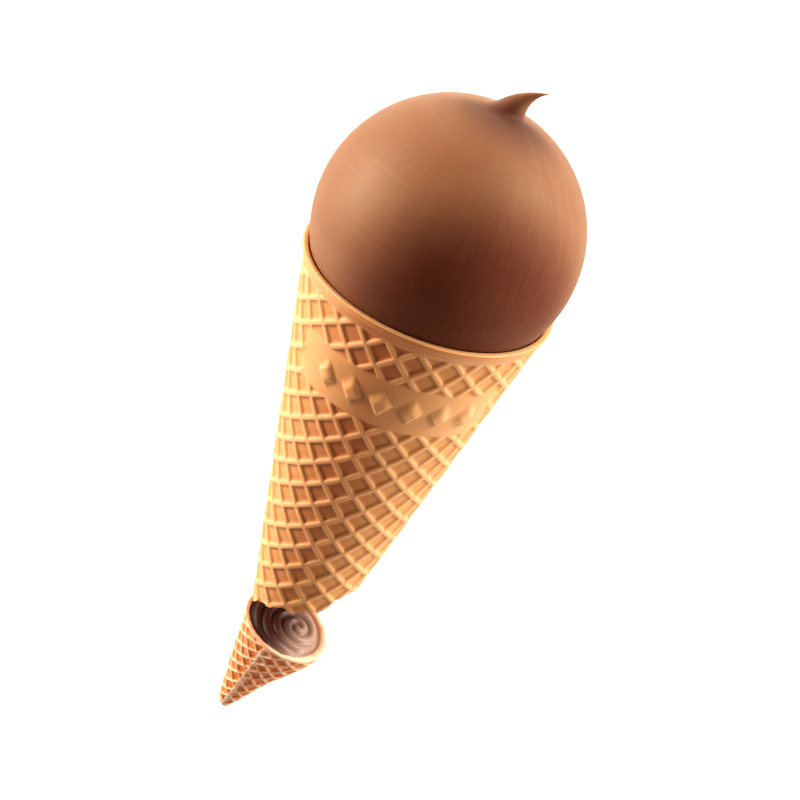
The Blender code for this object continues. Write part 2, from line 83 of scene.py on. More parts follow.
class Press:
    """The waffle press: its two families of ridges, laid on the flat sheet."""

    def __init__(self, roll, half_width, half_height, lean, shift, drop, wobble):
        self.roll, self.half_width, self.half_height = roll, half_width, half_height
        self.turned = Matrix.Rotation(-lean, 2)
        self.centre = Vector((shift, roll.slant - drop))
        self.pitch = 2 * half_width * half_height / math.hypot(half_width, half_height)
        self.wobble = wobble

    def flat_of(self, first, second):
        spread = Vector((self.half_width * (first - second), self.half_height * (first + second)))
        return self.turned @ spread + self.centre

    def lines_of(self, flat):
        """How far a place on the sheet is from the nearest ridge of each family."""
        bent = Vector((flat.x, flat.y, 0.0))
        drift = Vector((wander(bent, 9 * MM, 1.3), wander(bent, 9 * MM, 5.1))) * self.wobble
        spread = self.turned.inverted() @ (flat + drift - self.centre)
        first = (spread.x / self.half_width + spread.y / self.half_height) / 2
        second = (spread.y / self.half_height - spread.x / self.half_width) / 2
        return [abs((line % 1.0) - 0.5) * self.pitch for line in (first, second)]

    def sheet(self, rows, middle, across, margin):
        """The flat sheet, its mesh lines following the ridges and closest together at each one."""
        bm = bmesh.new()
        lines = across * len(rows)
        bmesh.ops.create_grid(bm, x_segments=lines, y_segments=lines, size=lines / 2)
        stray = []
        for corner in bm.verts:
            place = []
            for axis in (0, 1):
                line = round(corner.co[axis] + lines / 2)
                place.append(line // len(rows) + rows[line % len(rows)] - across / 2 + middle[axis] + 0.5)
            flat = self.flat_of(*place)
            angle = math.atan2(flat.x, flat.y)
            turn, down = angle / math.sin(self.roll.half_angle), self.roll.slant - flat.length
            if not (margin[0] < turn < margin[1] and margin[2] < down < margin[3]):
                stray.append(corner)
            corner.co = (turn * self.roll.mouth_radius, down, 0)
        bmesh.ops.delete(bm, geom=stray, context="VERTS")
        return bm


def cut_sheet(bm, faces, point, normal, clear=False):
    """Cuts faces along a straight line of the unrolled strip, and may clear what lies beyond it."""
    geometry = list({vert for face in faces for vert in face.verts})
    geometry += list({edge for face in faces for edge in face.edges}) + list(faces)
    bmesh.ops.bisect_plane(bm, geom=geometry, dist=2e-5, plane_co=point, plane_no=normal, clear_outer=clear)


def wall_on(bm, edges, spot):
    """Extends the open edges by one row, whose points spot() puts in place, and returns its edges."""
    made = bmesh.ops.extrude_edge_only(bm, edges=edges)["geom"]
    fresh = {item for item in made if isinstance(item, bmesh.types.BMVert)}
    for vert in fresh:
        vert.co = spot(vert.co)
    return [item for item in made if isinstance(item, bmesh.types.BMEdge) and set(item.verts) <= fresh]


def finished(name, bm, material, node):
    """Makes a closed mesh the piece that stands for a node of the frame."""
    bmesh.ops.recalc_face_normals(bm, faces=bm.faces)
    if bm.calc_volume(signed=True) < 0:
        bmesh.ops.reverse_faces(bm, faces=bm.faces)
    mesh = bpy.data.meshes.new(name)
    bm.to_mesh(mesh)
    bm.free()
    mesh.shade_smooth()
    mesh.materials.append(material)
    piece = bpy.data.objects.new(name, mesh)
    bpy.context.scene.collection.objects.link(piece)
    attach(piece, "root")
    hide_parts(node)


CONE_MOUTH_X = 39.71 * MM
CONE_MOUTH_RADIUS = 26.0 * MM
CONE_HALF_ANGLE = math.radians(10.5)
CONE_LIP_RADIUS = 26.4 * MM
CONE_RUN = 93.0 * MM
CONE_WALL = 1.9 * MM
FLOOR_SINK = 0.18 * MM
cone_end = CONE_MOUTH_RADIUS - CONE_RUN * math.sin(CONE_HALF_ANGLE)
cone_slope = math.atan2(CONE_LIP_RADIUS - cone_end, CONE_RUN * math.cos(CONE_HALF_ANGLE))
cone = RolledCone(
    Vector((CONE_MOUTH_X, 0, CONE_LIP_RADIUS * math.cos(cone_slope) - FLOOR_SINK)),
    Vector((math.cos(cone_slope), 0, math.sin(cone_slope))),
    CONE_MOUTH_RADIUS,
    CONE_HALF_ANGLE,
)

TIP_MOUTH_RADIUS = 10.0 * MM
TIP_HALF_ANGLE = math.radians(14.83)
TIP_YAW = math.radians(-12.6)
TIP_APEX = Vector((CONE_MOUTH_X - 128.16 * MM, 7.87 * MM, -0.12 * MM))
tip_axis = Vector((math.cos(TIP_YAW), math.sin(TIP_YAW), math.tan(TIP_HALF_ANGLE))).normalized()
tip = RolledCone(
    TIP_APEX + tip_axis * (TIP_MOUTH_RADIUS / math.tan(TIP_HALF_ANGLE)),
    tip_axis,
    TIP_MOUTH_RADIUS,
    TIP_HALF_ANGLE,
)

CELL_HALF = (3.42 * MM, 3.49 * MM)
GRID_LEAN = math.radians(1.5)
GRID_SHIFT = (-3.33 * MM, 27.38 * MM)
RIDGE_WOBBLE = 0.16 * MM
RIDGE_HALF_TOP = 0.42
RIDGE_SLOPE = 0.40 * MM
RIDGE_ROWS = (0, 0.05, 0.09, 0.13, 0.175, 0.32, 0.5, 0.68, 0.825, 0.87, 0.91, 0.95)
POCKET_DEPTH = 0.50 * MM
BAND_END = 3.5 * MM
LIP_FOOT = 1.7 * MM
LIP_RISE = 0.38 * MM
PLAIN_LIFT = -0.22 * MM
EDGE_SOFT = 0.45 * MM
BANNER_TURNS = (math.radians(-50), math.radians(66))
BANNER_TOP, BANNER_FOOT = 12.2 * MM, 24.4 * MM
BANNER_CORNER = 2.0 * MM
LOZENGE_TURNS = [math.radians(-29 + 78 * k / 5) for k in range(6)]
LOZENGE_HALF = (2.35 * MM, 3.3 * MM)
LOZENGE_SIDE = 0.32
LOZENGE_RISE = 0.72 * MM
SEAM_TURN = math.radians(150)
SEAM_STEP = 0.6 * MM
SEAM_RAMP = math.radians(40)
BREAK_DOWN = 84.7 * MM
BREAK_SKEW = 3.15 * MM
BREAK_TAIL = 13.0 * MM
TAIL_POWERS = (1.2, 3.5)
CHIP_DEPTH = 4.0 * MM
CHIP_START, CHIP_START_WIDTH = math.radians(37), math.radians(8)
CHIP_END, CHIP_END_WIDTH = math.radians(108), math.radians(28)
BREAK_GAP = 0.45 * MM
# A browner stripe of painted shade runs down the front of the cone.
SHADE_STRIPE_TURN, SHADE_STRIPE_WIDTH = math.radians(-10), math.radians(29)


def broken_down(turn):
    """Distance from the mouth to the break: longest underneath, where it still meets the tip."""
    wrapped = math.atan2(math.sin(turn), math.cos(turn))
    tail = BREAK_TAIL * ((1 - math.cos(wrapped)) / 2) ** TAIL_POWERS[wrapped > 0]
    chip = ease((wrapped - CHIP_START) / CHIP_START_WIDTH)
    chip *= 1 - ease((wrapped - CHIP_END) / CHIP_END_WIDTH)
    crumbs = 0.36 * MM * (math.sin(11 * wrapped + 0.6) + 0.5 * math.sin(23 * wrapped))
    crumbs += 0.10 * MM * math.sin(57 * wrapped + 1.1) + 0.06 * MM * math.sin(97 * wrapped)
    free = BREAK_DOWN - BREAK_SKEW * math.sin(wrapped) + tail - CHIP_DEPTH * chip + crumbs
    ray = (cone.place(wrapped, 0) - cone.apex) / cone.slant
    meets = cone.slant - (BREAK_GAP + (tip.mouth - cone.apex).dot(tip.axis)) / ray.dot(tip.axis)
    return min(free, meets)


def ridge_height(distance, half_top, half_foot, depth):
    """Section across a ridge: a rounded crest, a short steep wall, then the pocket's floor."""
    crest = -0.14 * depth * min(distance / half_top, 1.0) ** 2
    return crest - 0.86 * depth * ease((distance - half_top) / (half_foot - half_top))


banner_middle = (BANNER_TOP + BANNER_FOOT) / 2
banner_radius = (cone.slant - banner_middle) * math.sin(cone.half_angle)


def banner_inside(turn, down):
    """How far inside the plain banner a place is; negative outside it."""
    first, last = BANNER_TURNS
    across = abs(turn - (first + last) / 2) * banner_radius - (last - first) / 2 * banner_radius
    along = abs(down - banner_middle) - (BANNER_FOOT - BANNER_TOP) / 2
    across, along = across + BANNER_CORNER, along + BANNER_CORNER
    outside = math.hypot(max(across, 0.0), max(along, 0.0))
    return BANNER_CORNER - outside - min(max(across, along), 0.0)


def lozenge_at(turn, down):
    """How high on a lozenge a place is: 0 beside them all, 1 on a flat top."""
    across = min(abs(turn - centre) for centre in LOZENGE_TURNS) * banner_radius / LOZENGE_HALF[0]
    along = abs(down - banner_middle) / LOZENGE_HALF[1]
    return ease((1.0 - across - along) / LOZENGE_SIDE)


def front_shade_and_lip_brown(turn, down):
    """How much browner a place is painted: a front stripe of painted shade, strongest near the mouth, and
    more again near the lip.
    """
    front_shade = math.exp(-(((turn - SHADE_STRIPE_TURN) / SHADE_STRIPE_WIDTH) ** 2))
    front_shade *= 0.95 - 0.25 * ease((down - 20 * MM) / (60 * MM))
    return front_shade + 0.9 * ease((BAND_END - down) / (1.0 * MM)) * (0.3 + 0.7 * front_shade)


first_edge, last_edge = SEAM_TURN - math.tau, SEAM_TURN
press = Press(cone, *CELL_HALF, GRID_LEAN, *GRID_SHIFT, RIDGE_WOBBLE)
sheet = press.sheet(RIDGE_ROWS, (-4, -2), 38, (first_edge - 0.2, last_edge + 0.2, -1.5 * MM, 99 * MM))
for point, normal in (
    ((last_edge * cone.mouth_radius, 0, 0), (1, 0, 0)),
    ((first_edge * cone.mouth_radius, 0, 0), (-1, 0, 0)),
    ((0, LIP_FOOT, 0), (0, -1, 0)),
):
    cut_sheet(sheet, sheet.faces[:], Vector(point), Vector(normal), clear=True)
for vert in sheet.verts:
    vert.co.y -= broken_down(vert.co.x / cone.mouth_radius)
cut_sheet(sheet, sheet.faces[:], Vector((0, 0, 0)), Vector((0, 1, 0)), clear=True)
for vert in sheet.verts:
    vert.co.y += broken_down(vert.co.x / cone.mouth_radius)
for line in (BAND_END, BANNER_TOP, BANNER_FOOT):
    for offset in (-EDGE_SOFT, -EDGE_SOFT / 3, EDGE_SOFT / 3, EDGE_SOFT):
        near_line = [f for f in sheet.faces if abs(f.calc_center_median().y - line - offset) < 2.5 * MM]
        cut_sheet(sheet, near_line, Vector((0, line + offset, 0)), Vector((0, 1, 0)))

relief = sheet.verts.layers.float.new("relief")
crumb = sheet.verts.layers.float.new("crumb")
toast_and_shade = sheet.verts.layers.float.new("toast_and_shade")
seam_rows = {"first": [], "last": []}
for vert in sheet.verts:
    turn, down = vert.co.x / cone.mouth_radius, vert.co.y
    angle, distance = turn * math.sin(cone.half_angle), cone.slant - down
    flat = Vector((distance * math.sin(angle), distance * math.cos(angle)))
    top = (RIDGE_HALF_TOP + 0.05 * wander(Vector((flat.x, flat.y, 2)), 5 * MM, 11.0)) * MM
    grid = max(ridge_height(gap, top, top + RIDGE_SLOPE, POCKET_DEPTH) for gap in press.lines_of(flat))
    grid += 0.05 * MM * wander(Vector((flat.x, flat.y, 0)), 2.5 * MM, 2.2)
    plain = ease((BAND_END - down) / (2 * EDGE_SOFT) + 0.5)
    plain = max(plain, ease(banner_inside(turn, down) / (2 * EDGE_SOFT) + 0.5))
    plain = max(plain, 1 - ease((turn - first_edge) * cone.mouth_radius / (1.6 * MM)))
    level = PLAIN_LIFT + 0.06 * MM * wander(Vector((flat.x, flat.y, 1)), 6 * MM, 7.0)
    lift = grid + (level - grid) * plain + LOZENGE_RISE * lozenge_at(turn, down)
    vert[relief] = min(max(1 + lift / POCKET_DEPTH, 0.0), 1.3)
    # On the big cone the toast attribute holds the painted front shade and the browner lip band.
    vert[toast_and_shade] = front_shade_and_lip_brown(turn, down)
    lift -= SEAM_STEP * min(max((turn - last_edge + SEAM_RAMP) / SEAM_RAMP, 0.0), 1.0)
    lift += ease((BAND_END - down) / (BAND_END - LIP_FOOT)) * LIP_RISE
    if abs(turn - first_edge) < 1e-5:
        seam_rows["first"].append((down, vert))
    if abs(turn - last_edge) < 1e-5:
        seam_rows["last"].append((down, vert))
    lift += 0.12 * MM * wander(cone.place(turn, down), 15 * MM, 0.4)
    vert.co = cone.place(turn, down, lift)
upper, lower = (sorted(seam_rows[key], key=lambda row: row[0]) for key in ("first", "last"))
sheet.faces.new([vert for _, vert in upper] + [vert for _, vert in reversed(lower)])

open_edges = [edge for edge in sheet.edges if len(edge.link_faces) == 1]
foot_edges = [
    edge for edge in open_edges if all((v.co - cone.mouth).dot(cone.axis) < -60 * MM for v in edge.verts)
]
lip_edges = [edge for edge in open_edges if edge not in set(foot_edges)]


def lip_spot(down, lift):
    def spot(point):
        turn = cone.turn_of(point)
        ripple = 0.05 * MM * wander(cone.place(turn, 0), 5 * MM, 9.0)
        return cone.place(turn, down, lift + ripple)

    return spot


def bore_spot(height, radius):
    return lambda point: cone.circle_place(cone.turn_of(point), height, radius)


LIP_ROWS = ((1.25, 0.32), (0.95, 0.36), (0.82, 0.30), (0.74, 0.16), (0.66, 0.28), (0.5, 0.40), (0.25, 0.40))
LIP_EDGE_ROW = (0.08, 0.28)
for down, lift in (*LIP_ROWS, LIP_EDGE_ROW):
    lip_edges = wall_on(sheet, lip_edges, lip_spot(down * MM, lift * MM))
    for vert in {vert for edge in lip_edges for vert in edge.verts}:
        vert[relief] = 0.45 if down > LIP_EDGE_ROW[0] else 0.9
        # The lip takes part of the painted front shade as well.
        vert[toast_and_shade] = max(front_shade_and_lip_brown(cone.turn_of(vert.co), 0.0) * 0.6, 0.5) if down > LIP_EDGE_ROW[0] else 0.1
RIM_ROWS = ((-0.02, 26.0), (-0.08, 25.6), (-0.05, 25.3), (-0.25, 25.1))
BORE_ROWS = ((-1.2, 24.95), (-4.5, 23.25), (-12, 21.9))
for height, radius in RIM_ROWS + BORE_ROWS:
    lip_edges = wall_on(sheet, lip_edges, bore_spot(height * MM, radius * MM))


def break_spot(rise, lift, rough):
    def spot(point):
        turn = cone.turn_of(point)
        jag = rough * MM * wander(point, 0.9 * MM, 4.0)
        return cone.place(turn, broken_down(turn) - rise * MM + jag, lift * MM)

    return spot


BREAK_ROWS = ((-0.1, -0.6, 0.1), (-0.1, -1.0, 0.2), (0.05, -1.35, 0.25), (0.15, -1.65, 0.2), (0.5, -1.9, 0.1))
INSIDE_ROWS = tuple((rise, -1.95, 0) for rise in (1.5, 4, 10, 24))
for rise, lift, rough in BREAK_ROWS + INSIDE_ROWS:
    foot_edges = wall_on(sheet, foot_edges, break_spot(rise, lift, rough))
    for vert in {vert for edge in foot_edges for vert in edge.verts}:
        vert[relief] = 0.55
        vert[crumb] = 1.0 if rise < 1 else 0.4
        vert[toast_and_shade] = 0.3
bmesh.ops.bridge_loops(sheet, edges=lip_edges + foot_edges)
bmesh.ops.remove_doubles(sheet, verts=sheet.verts, dist=2e-6)
for vert in sheet.verts:
    vert.co.z = max(vert.co.z, 0.0)


class Wire:
    """A value in a material; Python's operators on it add the Math nodes."""

    def __init__(self, tree, socket=None):
        self.tree, self.socket = tree, socket

    def node(self, kind, settings, sockets, output=0):
        fresh = self.tree.nodes.new(kind)
        for setting, value in settings.items():
            setattr(fresh, setting, value)
        for socket, value in sockets.items():
            if isinstance(value, Wire):
                self.tree.links.new(value.socket, fresh.inputs[socket])
            else:
                fresh.inputs[socket].default_value = value
        return Wire(self.tree, fresh.outputs[output]) if fresh.outputs else None

    def math(self, operation, *values):
        return self.node("ShaderNodeMath", {"operation": operation}, dict(enumerate(values)))

    def __add__(self, other):
        return self.math("ADD", self, other)

    def __radd__(self, other):
        return self.math("ADD", other, self)

    def __sub__(self, other):
        return self.math("SUBTRACT", self, other)

    def __rsub__(self, other):
        return self.math("SUBTRACT", other, self)

    def __mul__(self, other):
        return self.math("MULTIPLY", self, other)

    def __rmul__(self, other):
        return self.math("MULTIPLY", other, self)

    def between(self, low, high):
        """Rises smoothly from 0 to 1 as the value goes from low to high."""
        limits = {"Value": self, "From Min": low, "From Max": high}
        return self.node("ShaderNodeMapRange", {"interpolation_type": "SMOOTHSTEP"}, limits)

    def blend(self, first, second):
        """The colour first where this value is 0, and second where it is 1."""
        colours = {"Factor": self, 6: first, 7: second}
        return self.node("ShaderNodeMix", {"data_type": "RGBA"}, colours, output=2)

    def along(self, way):
        """How far a place lies along the given way."""
        both = {0: self, 1: way}
        return self.node("ShaderNodeVectorMath", {"operation": "DOT_PRODUCT"}, both, output="Value")


def new_finish(name):
    """An empty material, its first wire and its shader's maker."""
    material = bpy.data.materials.new(name)
    material.use_nodes = True
    material.node_tree.nodes.clear()
    paint = Wire(material.node_tree)

    def finish(**sockets):
        named = {name.replace("_", " "): value for name, value in sockets.items()}
        shader = paint.node("ShaderNodeBsdfPrincipled", {}, named)
        paint.node("ShaderNodeOutputMaterial", {}, {"Surface": shader})

    return material, paint, finish


def place_from(paint, point):
    """Where a place of the piece lies, seen from the given point."""
    place = paint.node("ShaderNodeTexCoord", {}, {}, output="Object")
    return paint.node("ShaderNodeVectorMath", {"operation": "SUBTRACT"}, {0: place, 1: point})


def clouds(place, scale, detail, rough):
    """Soft noise from 0 to 1 over the given places."""
    sockets = {"Vector": place, "Scale": scale, "Detail": detail, "Roughness": rough}
    return place.node("ShaderNodeTexNoise", {}, sockets)


def mottle(paint, size, detail=3.0, rough=0.55):
    """Soft random patches of about the given size in metres."""
    return clouds(paint.node("ShaderNodeTexCoord", {}, {}, output="Object"), 1 / size, detail, rough)


def wafer_finish(name, crest, floor, brown, pale, crumb_colour, shares):
    """Baked batter: browner where the toast attribute is high, which on the big cone is painted front shade,
    and in the pockets, which is partly painted shade in the recesses; with fine bubbles.
    """
    brown_share, pale_share = shares
    material, paint, finish = new_finish(name)
    height = paint.node("ShaderNodeAttribute", {"attribute_name": "relief"}, {}, output="Fac")
    broken = paint.node("ShaderNodeAttribute", {"attribute_name": "crumb"}, {}, output="Fac")
    toast_and_shade_level = paint.node("ShaderNodeAttribute", {"attribute_name": "toast_and_shade"}, {}, output="Fac")
    patches = mottle(paint, 9 * MM, 2.0).between(0.38, 0.68)
    freckles = mottle(paint, 0.9 * MM, 3.0, 0.7).between(0.45, 0.75)
    # Pocket floors take the darker floor colour and more brown, partly as painted shade in the recesses.
    pocket_shade = 1 - height.between(0.05, 0.8)
    baked = pocket_shade.blend((*crest, 1), (*floor, 1))
    baked = (toast_and_shade_level * (0.35 + 0.65 * pocket_shade)).blend(baked, (*brown, 1))
    baked = (patches * brown_share).blend(baked, (*brown, 1))
    baked = (freckles * pocket_shade * 0.2).blend(baked, (*brown, 1))
    pale_patches = mottle(paint, 2.2 * MM, 2.0).between(0.5, 0.8) * pale_share
    bleached = paint.math("MAXIMUM", (0 - toast_and_shade_level).between(0.0, 0.6) * 0.8, pale_patches)
    baked = bleached.blend(baked, (*pale, 1))
    baked = (broken * 0.75).blend(baked, (*crumb_colour, 1))
    bubbles = mottle(paint, 0.28 * MM, 2.0, 0.6) + 0.6 * mottle(paint, 0.8 * MM, 2.0, 0.5)
    grain = paint.node("ShaderNodeBump", {}, {"Height": bubbles, "Strength": 0.35, "Distance": 0.09 * MM})
    finish(
        Base_Color=baked,
        Roughness=0.5 + 0.2 * freckles,
        Normal=grain,
        Subsurface_Weight=0.45,
        Subsurface_Radius=(1.0, 0.5, 0.25),
        Subsurface_Scale=1.1 * MM,
        Specular_IOR_Level=0.4,
    )
    return material


golden = wafer_finish(
    "baked_wafer",
    crest=(0.87, 0.485, 0.22),
    floor=(0.80, 0.40, 0.15),
    brown=(0.53, 0.175, 0.054),
    pale=(0.86, 0.58, 0.28),
    crumb_colour=(0.72, 0.34, 0.16),
    shares=(0.10, 0.10),
)
finished("rolled_wafer", sheet, golden, "wafer_cone")

# The ice cream. Smooth cocoa-brown ice cream is filled into the cone and turned off into a ball
# on top, and the nozzle leaves a small peak that curls over, with faint streaks running from it.
BALL_RADIUS = 27.03 * MM
BALL_LIFT = 10.4 * MM
PEAK_FOOT_RADIUS = 5.6 * MM
PEAK_KNEE = (3.34 * MM, 27.0 * MM)
HORN_BASE = 25.41 * MM
HORN_RADIUS = 4.39 * MM
HORN_TAPER = 1.54
HORN_BEND = math.radians(66.3)
HORN_BEND_RADIUS = 8.75 * MM
HORN_START = 0.25
ball_centre = cone.mouth + cone.axis * BALL_LIFT
peak_way = Vector((1.0, -0.0743, 0.0721)).normalized()
curl_way = Vector((0.0, -1.0, -0.0522))
curl_way = (curl_way - peak_way * peak_way.dot(curl_way)).normalized()
peak_side = peak_way.cross(curl_way)
peak_swing = cone.axis.rotation_difference(peak_way)

BALL_ROWS, FILLET_ROWS, HORN_ROWS = 84, 14, 34
start_latitude = math.asin(-BALL_LIFT / BALL_RADIUS)
root_latitude = math.acos(PEAK_FOOT_RADIUS / BALL_RADIUS)
FILLING_FOOT = ((0.0, -75.4), (4.0, -75.3), (7.6, -74.8))
profile = [(radius * MM, height * MM - BALL_LIFT) for radius, height in FILLING_FOOT]
for height in (-73.8, -71, -60, -40, -20, -6, -1.5):
    radius = CONE_MOUTH_RADIUS + height * MM * math.tan(CONE_HALF_ANGLE) - CONE_WALL - 0.15 * MM
    profile.append((radius, height * MM - BALL_LIFT))
for row in range(BALL_ROWS + 1):
    latitude = start_latitude + (root_latitude - start_latitude) * row / BALL_ROWS
    profile.append((BALL_RADIUS * math.cos(latitude), BALL_RADIUS * math.sin(latitude)))


def horn_radius(share):
    """Half the width of the peak's curled end, which runs to a fine point."""
    return HORN_RADIUS * (1 - share / 1.04) ** HORN_TAPER


root_height = BALL_RADIUS * math.sin(root_latitude)
horn_foot = HORN_BASE + HORN_BEND_RADIUS * math.sin(HORN_BEND * HORN_START)
for row in range(1, FILLET_ROWS + 1):
    share = row / FILLET_ROWS
    weights = ((1 - share) ** 2, 2 * share * (1 - share), share * share)
    radius = weights[0] * PEAK_FOOT_RADIUS + weights[1] * PEAK_KNEE[0] + weights[2] * horn_radius(HORN_START)
    profile.append((radius, weights[0] * root_height + weights[1] * PEAK_KNEE[1] + weights[2] * horn_foot))
for row in range(1, HORN_ROWS + 1):
    share = HORN_START + (1 - HORN_START) * row / HORN_ROWS
    profile.append((horn_radius(share), horn_foot + HORN_BEND_RADIUS * HORN_BEND * (share - HORN_START)))
profile.append((0.0, profile[-1][1] + 0.05 * MM))

ball = bmesh.new()
outline = [ball.verts.new((radius, 0, height)) for radius, height in profile]
spine = [ball.edges.new(pair) for pair in zip(outline, outline[1:])]
bmesh.ops.spin(
    ball, geom=outline + spine, cent=(0, 0, 0), axis=(0, 0, 1), angle=math.tau, steps=176, use_merge=True
)
bmesh.ops.remove_doubles(ball, verts=ball.verts, dist=1e-6)
unswing = Matrix.Rotation(peak_swing.angle, 3, peak_swing.axis).inverted()
for vert in ball.verts:
    radius, height = vert.co.xy.length, vert.co.z
    turn = math.atan2(vert.co.y, vert.co.x)
    if height > root_height + 1e-7:
        angle = HORN_BEND * HORN_START
        if height < horn_foot:
            bent = ((height - root_height) / (horn_foot - root_height)) ** 1.66
            middle = height * peak_way + HORN_BEND_RADIUS * (1 - math.cos(angle)) * bent * curl_way
            angle *= bent
        else:
            angle += (height - horn_foot) / HORN_BEND_RADIUS
            middle = (HORN_BASE + HORN_BEND_RADIUS * math.sin(angle)) * peak_way
            middle += HORN_BEND_RADIUS * (1 - math.cos(angle)) * curl_way
        across = math.cos(angle) * curl_way - math.sin(angle) * peak_way
        vert.co = ball_centre + middle + radius * (math.cos(turn) * across + math.sin(turn) * peak_side)
        continue
    latitude = math.atan2(height, radius)
    share = ease(latitude / root_latitude) if height > 0 else 0.0
    swung = Matrix.Rotation(peak_swing.angle * share, 3, peak_swing.axis)
    across, beside = (swung @ unswing @ curl_way), (swung @ unswing @ peak_side)
    vert.co = ball_centre + height * (swung @ cone.axis)
    vert.co += radius * (math.cos(turn) * across + math.sin(turn) * beside)
    if height > -BALL_LIFT:
        outward = (vert.co - ball_centre).normalized()
        fade = 1 - ease((height - 20 * MM) / (root_height - 20 * MM))
        vert.co += outward * 0.05 * MM * (wander(vert.co, 11 * MM, 6.0) - 1.0) * fade

cocoa, paint, cocoa_finish = new_finish("cocoa_ice_cream")
outward = paint.node("ShaderNodeVectorMath", {"operation": "NORMALIZE"}, {0: place_from(paint, ball_centre)})
longitude = paint.math("ARCTAN2", outward.along(peak_side), outward.along(curl_way))
latitude = paint.math("ARCCOSINE", outward.along(peak_way))
swept = {0: paint.math("SINE", longitude) * 2.4, 1: paint.math("COSINE", longitude) * 2.4, 2: latitude * 0.35}
swept = paint.node("ShaderNodeCombineXYZ", {}, swept)
broad = clouds(swept, 3.0, 4.0, 0.6)
fine = clouds(swept, 16.0, 3.0, 0.7)
ringed = paint.node("ShaderNodeCombineXYZ", {}, {0: longitude * 0.4, 1: 0.0, 2: latitude * 9.0})
bands = clouds(ringed, 2.5, 4.0, 0.65)
# Painted shade at the foot of the peak, on its upper side.
peak_foot_shade = (1 - latitude.between(0.12, 0.62)) * outward.along((0, 0, 1)).between(0.0, 0.2)
side_only = paint.math("COSINE", longitude - 0.15).between(-0.2, 0.9)
streaks = broad.between(0.42, 0.72) * (0.25 + 0.75 * side_only)
# Painted shade over the middle and lower part of the shown side; the surface is also rougher there.
painted_shade_side = outward.along((-0.42, -0.40, 0.81)).between(0.36, 0.86)
tone = (streaks * 0.3).blend((0.285, 0.118, 0.055, 1), (0.44, 0.22, 0.12, 1))
tone = (fine.between(0.45, 0.8) * side_only * 0.5).blend(tone, (0.44, 0.21, 0.11, 1))
tone = (bands.between(0.45, 0.75) * 0.25).blend(tone, (0.40, 0.18, 0.09, 1))
tone = (painted_shade_side * (0.97 - 0.2 * fine)).blend(tone, (0.115, 0.014, 0.005, 1))
tone = (peak_foot_shade * 0.92).blend(tone, (0.080, 0.012, 0.005, 1))
ripples = fine * side_only * 0.35 + broad * 0.5 + mottle(paint, 0.5 * MM, 2.0) * 0.25
skin = paint.node("ShaderNodeBump", {}, {"Height": ripples, "Strength": 0.45, "Distance": 0.3 * MM})
cocoa_finish(
    Base_Color=tone,
    Roughness=0.50 + 0.08 * fine + 0.27 * painted_shade_side,
    Normal=skin,
    Subsurface_Weight=0.25,
    Subsurface_Radius=(1.0, 0.3, 0.15),
    Subsurface_Scale=3.0 * MM,
    Sheen_Weight=0.16,
    Sheen_Roughness=0.45,
    Sheen_Tint=(1.0, 0.84, 0.55, 1),
    Specular_Tint=(1.0, 0.86, 0.62, 1),
    Specular_IOR_Level=0.4,
)
finished("ice_cream_ball", ball, cocoa, "ice_cream")

# The snapped tip. The same sheet is thinner and browner towards its point, and its uneven ridges are
# painted pale, partly as highlight. It broke off with a thin clean edge all round, and its end is blunt.
TIP_SEAM = math.radians(-10)
TIP_SEAM_STEP = 0.22 * MM
TIP_DEPTH = 0.42 * MM
TIP_LIP = 1.1 * MM
TIP_END = 7.4 * MM
TIP_SWELL = 1.1 * MM
TIP_SWELL_TURN = math.radians(80)
TIP_BORE_END = 8.0 * MM
TIP_SEAM_RAMP = 1.05
tip_first, tip_last = TIP_SEAM - math.tau, TIP_SEAM
tip_press = Press(tip, 2.0 * MM, 2.0 * MM, 0.0, 0.0, 1.0 * MM, 0.9 * MM)
tip_sheet = tip_press.sheet(
    RIDGE_ROWS, (0, 0), 46, (tip_first - 0.3, tip_last + 0.3, -1.0 * MM, tip.slant - TIP_END + 1 * MM)
)
tip_scale = tip.mouth_radius
for point, normal in (
    ((tip_last * tip_scale, 0, 0), (1, 0, 0)),
    ((tip_first * tip_scale, 0, 0), (-1, 0, 0)),
    ((0, 0.5 * MM, 0), (0, -1, 0)),
    ((0, tip.slant - TIP_END, 0), (0, 1, 0)),
):
    cut_sheet(tip_sheet, tip_sheet.faces[:], Vector(point), Vector(normal), clear=True)
relief = tip_sheet.verts.layers.float.new("relief")
tip_sheet.verts.layers.float.new("crumb")
toast_and_shade = tip_sheet.verts.layers.float.new("toast_and_shade")
tip_rows = {"first": [], "last": []}


def tip_lip_toast(turn):
    """The tip's lip is toasted on one side and pale on the other."""
    return 0.9 - 1.3 * ease(math.sin(turn) + 0.5)


